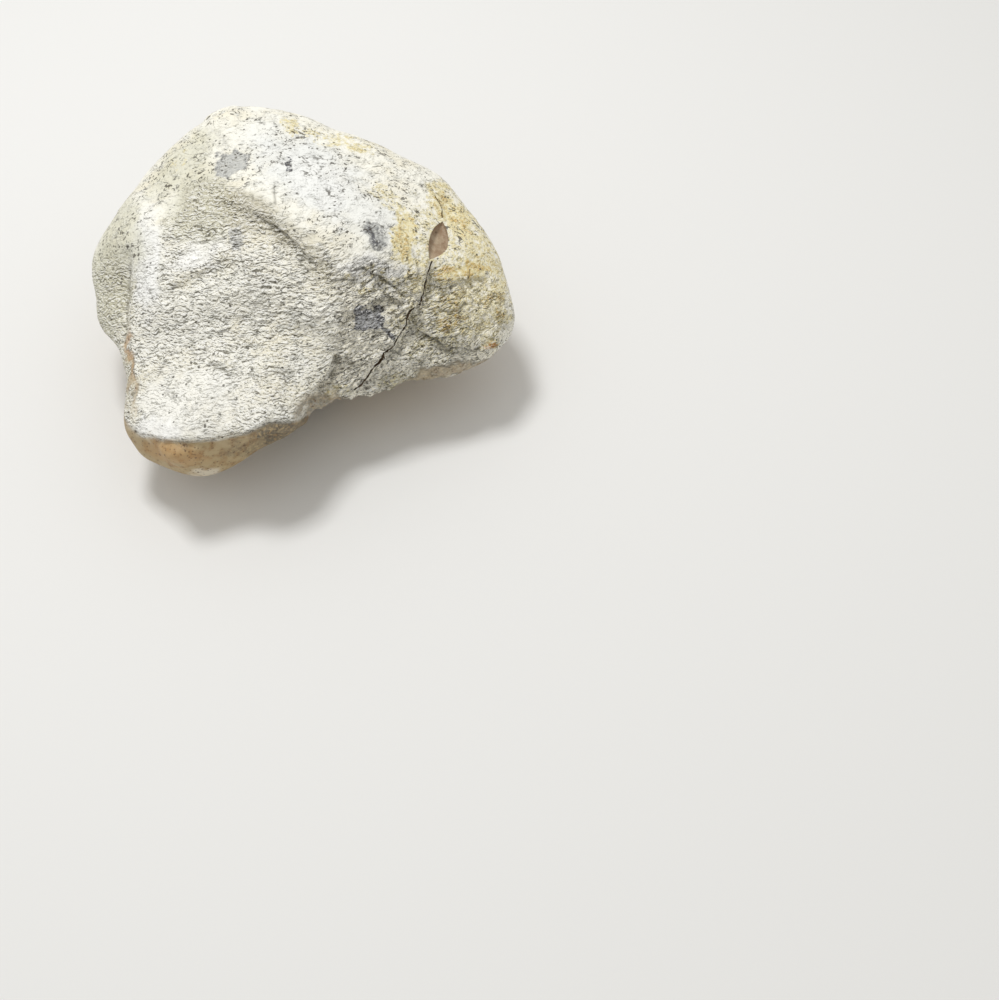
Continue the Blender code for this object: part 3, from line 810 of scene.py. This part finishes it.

# %% [markdown]
# ## Shares at every corner
# Every corner of the mesh keeps how much ochre, smoke, tan chert and so on it has, and the
# material reads those shares. They could be worked out in the material, but the lines and
# borders are far easier here. The patches' outlines are frayed by reading them at places that
# noise has pushed about. Corners that lie deeper than their neighbours keep that too, for painted shade in
# hollows.

# %% Shares at every corner
FRAY, FRAY_SIZE = 1.3, 2.4  # mm that outlines stray, and over what distance
HOLLOW_REACH, HOLLOW_DEPTH = 2, 0.07  # rounds of averaging, and mm
BACK_OCHRE, BACK_OCHRE_SIZE = 0.6, 9  # strength, and mm across a stain


def frayed(points, board):
    """Board places pushed about, so that every outline drawn on them is frayed."""
    pushes = [
        FRAY * noise_at(points, FRAY_SIZE, seed) + FRAY / 2 * noise_at(points, FRAY_SIZE / 3, seed + 1)
        for seed in (51, 53)]
    return board[:, :2] + np.column_stack(pushes)


def hollows(mesh, points, facing):
    """How deep each corner lies below the ground around it, as a share of HOLLOW_DEPTH."""
    ends = edge_ends(mesh)
    around = points
    for _ in range(HOLLOW_REACH):
        around = np.column_stack([neighbour_mean(column, ends) for column in around.T])
    return np.clip(np.sum((around - points) * facing, axis=1) / HOLLOW_DEPTH, 0, 1)


def keep_shares(mesh):
    points, board, facing, where = survey(mesh)
    place, seen = frayed(points, board), before_back(board)
    shares = {name: patches(place, seen, spots) for name, spots in PATCHES.items()}
    behind = (1 - seen) * smooth(noise_at(points, BACK_OCHRE_SIZE, 43) * 2)
    shares["ochre"] = np.maximum(shares["ochre"], BACK_OCHRE * behind)
    shares["tan"] = np.maximum(shares["tan"], where["rind"])
    shares["worn"] = np.maximum(shares["worn"], where["hump"])
    shares["rubble"], shares["hump"] = where["rubble"], where["hump"]
    shares["hairline"] = where["front"] * near_hairlines(board)
    shares["hollow"] = hollows(mesh, points, facing)
    for name, share in shares.items():
        mesh.attributes.new(name, "FLOAT", "POINT").data.foreach_set("value", share.astype(np.float32))
    grain = mesh.attributes.new("grain", "FLOAT_VECTOR", "POINT")
    grain.data.foreach_set("vector", along_grain(board).astype(np.float32).ravel())
    return sorted(shares)


print("Shares kept:", keep_shares(STONE.data))

# %% [markdown]
# ## Colours
# A colour picked on a screen isn't the number that a shader needs, because screens spread dark
# tones wider. Typing linear values would work, but nobody reads them as colours. So every
# colour here is written as it looks on a screen, from 0 to 255, and turned into linear values.

# %% Colours
def srgb(red, green, blue):
    parts = [c / 255 for c in (red, green, blue)]
    return (*[c / 12.92 if c <= 0.04045 else ((c + 0.055) / 1.055) ** 2.4 for c in parts], 1.0)


print("Chalk white is", [round(v, 2) for v in srgb(246, 244, 233)[:3]], "to a shader")

# %% [markdown]
# ## A kit for paint
# A material is a web of small nodes. Placed by hand they are easy to see but slow to change, so
# this kit places one node for each plain word: noise, mix, rise, bump. Coats are tints laid one
# over another, as a painter would lay them.

# %% A kit for paint
class Paint:
    """Builds a material's nodes one at a time; an input is a value or another node's output."""

    def __init__(self, material):
        material.use_nodes = True
        self.tree = material.node_tree
        self.shader = self.tree.nodes["Principled BSDF"]

    def put(self, socket, value):
        if isinstance(value, bpy.types.NodeSocket):
            self.tree.links.new(value, socket)
        else:
            socket.default_value = value

    def node(self, kind, inputs=(), **settings):
        node = self.tree.nodes.new("ShaderNode" + kind)
        for name, value in settings.items():
            setattr(node, name, value)
        for name, value in dict(inputs).items():
            self.put(node.inputs[name], value)
        return node

    def place(self):
        """Where the spot is on the stone, in mm."""
        found = self.node("TexCoord").outputs["Object"]
        return self.vector("MULTIPLY", found, (1 / MM, 1 / MM, 1 / MM))

    def pushed(self, place, size, distance):
        """A place pushed about by up to half a distance, by lumps of size mm."""
        push = self.node("TexNoise", {"Vector": place, "Scale": 1 / size, "Detail": 1.0}).outputs["Color"]
        push = self.vector("MULTIPLY", self.vector("SUBTRACT", push, (0.5,) * 3), (distance,) * 3)
        return self.vector("ADD", place, push)

    def share(self, name, output="Fac"):
        return self.node("Attribute", attribute_name=name).outputs[output]

    def vector(self, operation, one, other):
        return self.node("VectorMath", {0: one, 1: other}, operation=operation).outputs[0]

    def maths(self, operation, one, other=0.0):
        return self.node("Math", {0: one, 1: other}, operation=operation).outputs[0]

    def times(self, *values):
        product = values[0]
        for value in values[1:]:
            product = self.maths("MULTIPLY", product, value)
        return product

    def plus(self, one, other):
        return self.maths("ADD", one, other)

    def minus(self, one, other):
        return self.maths("SUBTRACT", one, other)

    def larger(self, one, other):
        return self.maths("MAXIMUM", one, other)

    def away_from(self, value, middle):
        return self.maths("ABSOLUTE", self.minus(value, middle))

    def noise(self, place, size, detail=3.0, rough=0.6, bent=0.0):
        """Noise from 0 to 1 with lumps of size mm, their outlines bent by an amount."""
        return self.node("TexNoise", {
            "Vector": place, "Scale": 1 / size, "Detail": detail, "Roughness": rough,
            "Distortion": bent}).outputs["Fac"]

    def rise(self, value, low, high):
        """0 below low, 1 above high, and smooth between; if low is the larger it falls. Noise
        seldom leaves 0.3 to 0.7, so most limits lie there."""
        return self.node("MapRange", {
            "Value": value, "From Min": low, "From Max": high}, interpolation_type="SMOOTHSTEP").outputs[0]

    def ramp(self, value, low, high, first, last):
        """A straight ramp from the first value, at low, to the last, at high."""
        return self.node("MapRange", {
            "Value": value, "From Min": low, "From Max": high, "To Min": first, "To Max": last}).outputs[0]

    def mix(self, share, one, other):
        return self.node("Mix", {0: share, 6: one, 7: other}, data_type="RGBA").outputs[2]

    def coats(self, colour, *coats):
        """A colour under coats: each is a tint, and the shares whose product says how much covers."""
        for tint, *shares in coats:
            colour = self.mix(self.times(*shares), colour, tint)
        return colour

    def bump(self, height, millimetres):
        return self.node("Bump", {
            "Height": height, "Distance": millimetres * MM, "Strength": 1.0}).outputs["Normal"]

    def finish(self, colour, roughness, normal=None):
        self.put(self.shader.inputs["Base Color"], colour)
        self.put(self.shader.inputs["Roughness"], roughness)
        if normal is not None:
            self.put(self.shader.inputs["Normal"], normal)


print("The kit knows", [word for word in vars(Paint) if not word.startswith("_")])

# %% [markdown]
# ## Small marks
# Three kinds of mark are smaller than the mesh can hold. The smallest flakes are stretched lumps
# of noise: where the noise is higher a little further up, the spot lies under a lump and gets
# painted shade, and where it is lower, the spot is a top and gets a painted highlight.
# Scratches are pieces of the line where a noise crosses its middle, and specks are dots at the
# middles of Voronoi cells. More mesh could hold them too, but it would be slow for no gain.

# %% Small marks
OVERHANG = 0.30  # how far up a lump its underside reaches, as a share of its size
UNDERSIDE_RISE, TOP_RISE = (0.077, 0.11), (-0.05, -0.13)  # slopes that count as each
SPECK_EDGE = (1.3, 0.7)  # a speck's outer and inner edge, as shares of its radius
SCRATCH_GAPS, SCRATCH_GAP_SIZE = (0.53, 0.58), 0.6  # what breaks up the scratches
ELSEWHERE = (31.0, 17.0, 5.0)  # mm: a shift that makes a second noise unlike the first


def small_lumps(paint, grain, size, start, crowded):
    """Lumps stretched along the rows of flakes, with masks for painted shade on their undersides and
    painted highlights on their tops.
    """
    cells = paint.vector("ADD", paint.vector("DIVIDE", grain, size), (start, start, start))
    above = paint.vector("ADD", cells, (0.0, OVERHANG, 0.0))
    lumps, higher = (paint.noise(spot, 1.0, detail=1.5, rough=0.5, bent=0.3) for spot in (cells, above))
    slope = paint.minus(higher, lumps)
    return lumps, paint.rise(paint.plus(slope, crowded), *UNDERSIDE_RISE), paint.rise(slope, *TOP_RISE)


def specks(paint, place, spacing, radius, density):
    """Round specks about spacing mm apart, where density is high."""
    dots = paint.node("TexVoronoi", {"Vector": place, "Scale": 1 / spacing})
    chance = paint.node("SeparateColor", {0: dots.outputs["Color"]}).outputs["Green"]
    shape = paint.rise(dots.outputs["Distance"], *[radius * edge for edge in SPECK_EDGE])
    return paint.times(shape, paint.rise(paint.plus(chance, density), 1.0, 1.05))


def scratches(paint, place, size, width):
    """Short dark marks: pieces of the wandering line where a noise passes through its middle."""
    wander = paint.noise(place, size, detail=1.0, rough=0.5, bent=0.8)
    line = paint.rise(paint.away_from(wander, 0.5), width, width / 2)
    gaps = paint.noise(paint.vector("ADD", place, ELSEWHERE), size * SCRATCH_GAP_SIZE)
    return paint.times(line, paint.rise(gaps, *SCRATCH_GAPS))


print("Three kinds of mark:", [mark.__name__ for mark in (small_lumps, specks, scratches)])

# %% [markdown]
# ## Chalk, stains and chert
# The chalk drifts from white to warm and grey over a few millimetres. Tints are laid over it,
# each as strong as its share: cool chalk, bright chalk that is partly painted light, greenish
# chalk and dull chalk that is partly painted shade, then ochre in two tones that mottle, grey
# smoke and flint with dark borders, and rust. Chert takes the chalk's place where the stone is
# broken underneath, with painted shadow on it in places. One flat colour for each would look like plaster.

# %% Chalk, stains and chert
CHALK, WARM_CHALK, GREY_CHALK = srgb(246, 244, 233), srgb(237, 232, 213), srgb(226, 225, 214)
RUBBLE_CHALK, BRIGHT_AND_LIT_CHALK = srgb(255, 250, 232), srgb(250, 250, 248)
# The bright tint is partly painted light, and the dull tint partly painted shade.
TINTS = [  # share, colour, strength
    ("rubble", RUBBLE_CHALK, 1.0), ("cool", srgb(230, 233, 234), 0.85), ("bright", BRIGHT_AND_LIT_CHALK, 0.8),
    ("green", srgb(206, 204, 180), 0.8), ("dull", srgb(172, 164, 134), 0.75)]
OCHRE_MOTTLE = 1.8  # how unevenly ochre lies
PALE_OCHRE, DEEP_OCHRE = srgb(233, 222, 176), srgb(214, 183, 110)
PALE_RISE, DEEP_RISE = (0.1, 0.75), (0.65, 1.25)  # amounts of ochre between which each comes in
SMOKE_GREY, FLINT_BLUE, SMOKE_DARK = srgb(192, 193, 189), srgb(206, 207, 210), srgb(80, 80, 85)
SMOKE_SPECKLE = 0.5  # strength of the smoke's dark border
RUST_STAIN = srgb(188, 122, 56)
# The third chert colour is a painted shadow brown.
CHERT_TAN, CHERT_BROWN, CHERT_SHADOW = srgb(178, 158, 120), srgb(156, 126, 84), srgb(104, 95, 78)
CHERT_ORANGE, CHERT_PALE = srgb(190, 140, 80), srgb(214, 204, 184)


def ochre_over(paint, colour, mottle):
    ochre = paint.share("ochre")
    amount = paint.plus(ochre, paint.times(mottle, OCHRE_MOTTLE))
    present = paint.rise(ochre, 0.02, 0.2)
    return paint.coats(
        colour, (PALE_OCHRE, paint.rise(amount, *PALE_RISE), present),
        (DEEP_OCHRE, paint.rise(amount, *DEEP_RISE), present))


def grey_over(paint, colour, mottle, fine):
    """Grey smoke and flint, each with a dark speckled border."""
    smoke, flint = paint.share("smoke"), paint.share("flint")
    speckle = paint.rise(paint.plus(fine, mottle), 0.38, 0.62)
    return paint.coats(
        colour, (SMOKE_GREY, paint.rise(smoke, 0.15, 0.5), paint.rise(fine, 0.0, 0.55)),
        (SMOKE_DARK, paint.rise(smoke, 0.1, 0.35), paint.rise(smoke, 0.8, 0.45), speckle, SMOKE_SPECKLE),
        (FLINT_BLUE, paint.rise(flint, 0.2, 0.5)),
        (SMOKE_DARK, paint.rise(flint, 0.1, 0.3), paint.rise(flint, 0.9, 0.6), paint.rise(fine, 0.35, 0.5)))


def chert_colour(paint, middling, fine):
    return paint.coats(
        CHERT_TAN, (CHERT_BROWN, paint.rise(middling, 0.42, 0.7)),
        # painted shadow on the chert
        (CHERT_SHADOW, paint.share("crust"), paint.rise(fine, 0.3, 0.6)),
        (CHERT_ORANGE, paint.share("rust")), (CHERT_PALE, paint.share("bright")))


def ground_colour(paint, broad, middling, fine):
    """Chalk, its stains and tints, some partly painted light and shade, and its patches of chert, before
    the small marks and their painted shade.
    """
    tints = [(tint, paint.share(name), strength) for name, tint, strength in TINTS]
    colour = paint.coats(
        CHALK, (WARM_CHALK, paint.rise(broad, 0.42, 0.68)),
        (GREY_CHALK, paint.rise(middling, 0.48, 0.72)), *tints)
    mottle = paint.minus(paint.plus(middling, fine), 1.0)
    colour = grey_over(paint, ochre_over(paint, colour, mottle), mottle, fine)
    return paint.coats(
        colour, (RUST_STAIN, paint.share("rust"), paint.rise(fine, 0.35, 0.6)),
        (chert_colour(paint, middling, fine), paint.share("tan")))


print("Tints over the chalk:", [name for name, _, _ in TINTS])

# %% [markdown]
# ## Painted shade and scratches on the chalk
# Shade is painted into the chalk's colour under each flake, in hollows and crevices, and in the
# creases of the rubble; scratches on the hump are dark marks. Shade scattered by noise alone would
# look like a print. Here it comes from the same lumps as the relief, so the painted shade and the
# real shading fall in the same places.

# %% Painted shade and scratches on the chalk
# Small lumps: mm along a row, up the slope and through, and where in the noise each kind starts.
COARSE, SMALL, LARGE = ((0.72, 0.38, 0.6), 0.0), ((0.38, 0.26, 0.35), 7.0), ((1.9, 1.2, 1.7), 13.0)
CLUSTERS, BARE_RUBBLE = 0.25, 0.02  # how unevenly undersides lie, and how many rubble lacks
UNDER_SMALL, UNDER_CHALK, UNDER_RUBBLE = 0.85, 0.74, 0.08  # painted shade under the flakes, where rubble has a little more
# painted highlight on the flakes' tops, and painted shade in the mesh's hollows
TOP_LIGHT, HOLLOW_SHADE = 0.7, 0.5
# where thin crevices lie in the rubble, their width, and their painted shade
CREVICE_AT, CREVICE_WIDTH, CREVICE_SHADE = 0.48, (0.03, 0.008), 0.6
HUMP_SCRATCHES, RUBBLE_SCRATCH = [(1.9, 0.04), (1.15, 0.05)], (1.5, 0.045)  # mm, and width
# painted shade in the rubble's creases
RUBBLE_CREASE_SHADE = 0.6
COARSE_BUMP, SMALL_BUMP, LARGE_BUMP, CREVICE_BUMP = 0.5, 0.25, 0.7, 0.15  # mm


def flake_marks(paint, grain, middling, fine, rubble):
    """The painted shade under flakes, in crevices and in hollows, the painted highlight on flakes' tops,
    and their height.
    """
    crowded = paint.times(paint.minus(middling, 0.5), CLUSTERS)
    crowded = paint.minus(crowded, paint.times(rubble, BARE_RUBBLE))
    coarse, under_coarse, top_coarse = small_lumps(paint, grain, *COARSE, crowded)
    small, under_small, top_small = small_lumps(paint, grain, *SMALL, crowded)
    large = small_lumps(paint, grain, *LARGE, 0.0)[0]
    # thin crevices in the rubble, painted as shade
    crevice = paint.rise(paint.away_from(large, CREVICE_AT), *CREVICE_WIDTH)
    crevice = paint.times(crevice, rubble, paint.rise(middling, 0.48, 0.6), CREVICE_SHADE)
    # painted shade under the flakes
    under = paint.larger(under_coarse, paint.times(under_small, UNDER_SMALL))
    under = paint.times(under, paint.plus(paint.times(rubble, UNDER_RUBBLE), UNDER_CHALK))
    # painted shade in the mesh's hollows
    sunk = paint.rise(paint.plus(paint.share("hollow"), paint.minus(fine, 0.5)), 0.45, 1.1)
    under = paint.larger(paint.larger(under, crevice), paint.times(sunk, HOLLOW_SHADE))
    # painted highlights on the flakes' tops
    tops = paint.times(paint.larger(top_coarse, top_small), TOP_LIGHT)
    height = paint.plus(paint.times(coarse, COARSE_BUMP), paint.times(small, SMALL_BUMP))
    height = paint.plus(height, paint.times(large, rubble, LARGE_BUMP))
    return under, tops, paint.minus(height, paint.times(crevice, CREVICE_BUMP))


def scratches_and_crease_shade(paint, place, grain, rubble, chalky, broad):
    """Scratches on the hump, where they come in groups, and painted shade in the creases of the rubble."""
    marks = paint.larger(*[scratches(paint, place, *kind) for kind in HUMP_SCRATCHES])
    marks = paint.times(marks, paint.share("hump"), chalky, paint.rise(broad, 0.38, 0.56))
    # painted shade in the rubble's creases, under small overhangs
    creases = paint.times(scratches(paint, grain, *RUBBLE_SCRATCH), rubble, chalky)
    return paint.larger(marks, paint.times(creases, RUBBLE_CREASE_SHADE))


print("Small lumps:", [size for size, _ in (LARGE, COARSE, SMALL)], "mm")

# %% [markdown]
# ## The chalk put together
# The ground's colour gets its coats one by one: painted highlights on the flakes' tops, the
# painted shade under them, then scratches with painted shade in the rubble's creases, pores,
# specks and hairlines. The bump repeats the flakes at sizes that the mesh is too coarse to carve
# crisply, so that its shading and the painted light and shade agree. More mesh would be truer but
# far heavier. Chalk is matte; chert is waxy, so it is less rough.

# %% The chalk put together
NOISE_SIZES = (5.0, 1.4, 0.45)  # mm: broad, middling and fine
GRAIN_PUSH = (1.6, 0.9)  # mm: over what distance rows of lumps stray, and how far
WORN_AWAY = (0.4, 0.65, 0.95, 0.5)  # worn ground lacks from 95 to 50 percent of its flakes
SPECKS, PORES = (0.8, 0.22), (0.4, 0.3)  # mm apart, and radius as a share of that
# the scratches' strength also sets the painted shade in the rubble's creases
MARK_DIRT_AND_SHADE, HAIRLINE_DIRT, SPECK_DIRT, PORE_DIRT = 0.85, 0.5, 0.8, 0.6
# the first colour is dust in the crack and the painted shade under the flakes
DIRT_AND_SHADE, SPECK, CHERT_DOTS = srgb(86, 79, 59), srgb(66, 60, 48), srgb(96, 72, 48)
FINE_BUMP = 0.12  # mm
CHALK_ROUGHNESS, CHERT_ROUGHNESS = 0.93, 0.55


def paint_chalk(material):
    paint = Paint(material)
    place = paint.place()
    broad, middling, fine = (paint.noise(place, size) for size in NOISE_SIZES)
    tan, worn, rubble = paint.share("tan"), paint.share("worn"), paint.share("rubble")
    chalky = paint.minus(1.0, tan)
    flaked = paint.times(chalky, paint.minus(1.0, paint.times(worn, paint.ramp(middling, *WORN_AWAY))))
    grain = paint.pushed(paint.share("grain", "Vector"), *GRAIN_PUSH)
    under, tops, height = flake_marks(paint, grain, middling, fine, rubble)
    marks = scratches_and_crease_shade(paint, place, grain, rubble, chalky, broad)
    pores = specks(paint, place, *PORES, paint.times(tan, paint.rise(middling, 0.3, 0.7)))
    spots = specks(paint, place, *SPECKS, paint.rise(middling, 0.35, 0.8))
    # coats: painted highlights on flake tops, painted shade under flakes, scratches and painted crease
    # shade, pores, specks and hairlines
    colour = paint.coats(
        ground_colour(paint, broad, middling, fine), (BRIGHT_AND_LIT_CHALK, tops, flaked),
        (DIRT_AND_SHADE, under, flaked), (SPECK, marks, MARK_DIRT_AND_SHADE), (CHERT_DOTS, pores, PORE_DIRT),
        (paint.mix(tan, SPECK, CHERT_DOTS), spots, SPECK_DIRT),
        (SPECK, paint.share("hairline"), HAIRLINE_DIRT))
    height = paint.times(height, flaked, paint.plus(rubble, 1.0))
    height = paint.plus(height, paint.times(fine, FINE_BUMP))
    roughness = paint.ramp(tan, 0.0, 1.0, CHALK_ROUGHNESS, CHERT_ROUGHNESS)
    paint.finish(colour, roughness, paint.bump(height, 1.0))


paint_chalk(CHALK_PAINT)
print("Chalk:", len(CHALK_PAINT.node_tree.nodes), "nodes")

# %% [markdown]
# ## Inside the crack and the chip
# The crack holds brown dust, and the chip's floor is a smooth brown skin with a few dots. They
# could share the chalk's paint, but it would put white flakes in the dark. Both are plain, so a
# little noise between two or three colours is enough.

# %% Inside the crack and the chip
CRACK_BROWN, CRACK_ROUGHNESS, DUST_SIZE = srgb(104, 85, 62), 0.9, 0.5
CHIP_BROWN, CHIP_PALE, CHIP_STAIN = srgb(158, 134, 108), srgb(186, 168, 142), srgb(150, 112, 82)
CHIP_ROUGHNESS, CHIP_BUMP, CLOUD_SIZE, GRIT_SIZE = 0.55, 0.12, 1.2, 0.35  # sizes and bump in mm
CHIP_DOTS, CHIP_DOT_DENSITY, CHIP_DOT_DIRT = (0.7, 0.25), 0.3, 0.6


def paint_crack(material):
    paint = Paint(material)
    dust = paint.rise(paint.noise(paint.place(), DUST_SIZE), 0.5, 0.8)
    paint.finish(paint.mix(dust, CRACK_BROWN, DIRT_AND_SHADE), CRACK_ROUGHNESS)


def paint_chip(material):
    paint = Paint(material)
    place = paint.place()
    cloud, grit = paint.noise(place, CLOUD_SIZE), paint.noise(place, GRIT_SIZE)
    dots = specks(paint, place, *CHIP_DOTS, CHIP_DOT_DENSITY)
    colour = paint.coats(
        CHIP_BROWN, (CHIP_PALE, paint.rise(cloud, 0.35, 0.7)),
        (CHIP_STAIN, paint.rise(grit, 0.55, 0.75)), (CHERT_DOTS, dots, CHIP_DOT_DIRT))
    paint.finish(colour, CHIP_ROUGHNESS, paint.bump(paint.plus(cloud, grit), CHIP_BUMP))


paint_crack(CRACK_PAINT)
paint_chip(CHIP_PAINT)
print("Painted:", [m.name for m in STONE.data.materials])

# %% [markdown]
# ## Sizes and finish
# The carving should stay inside the plain solid's size, whose box is printed at the start.


print("Finished")
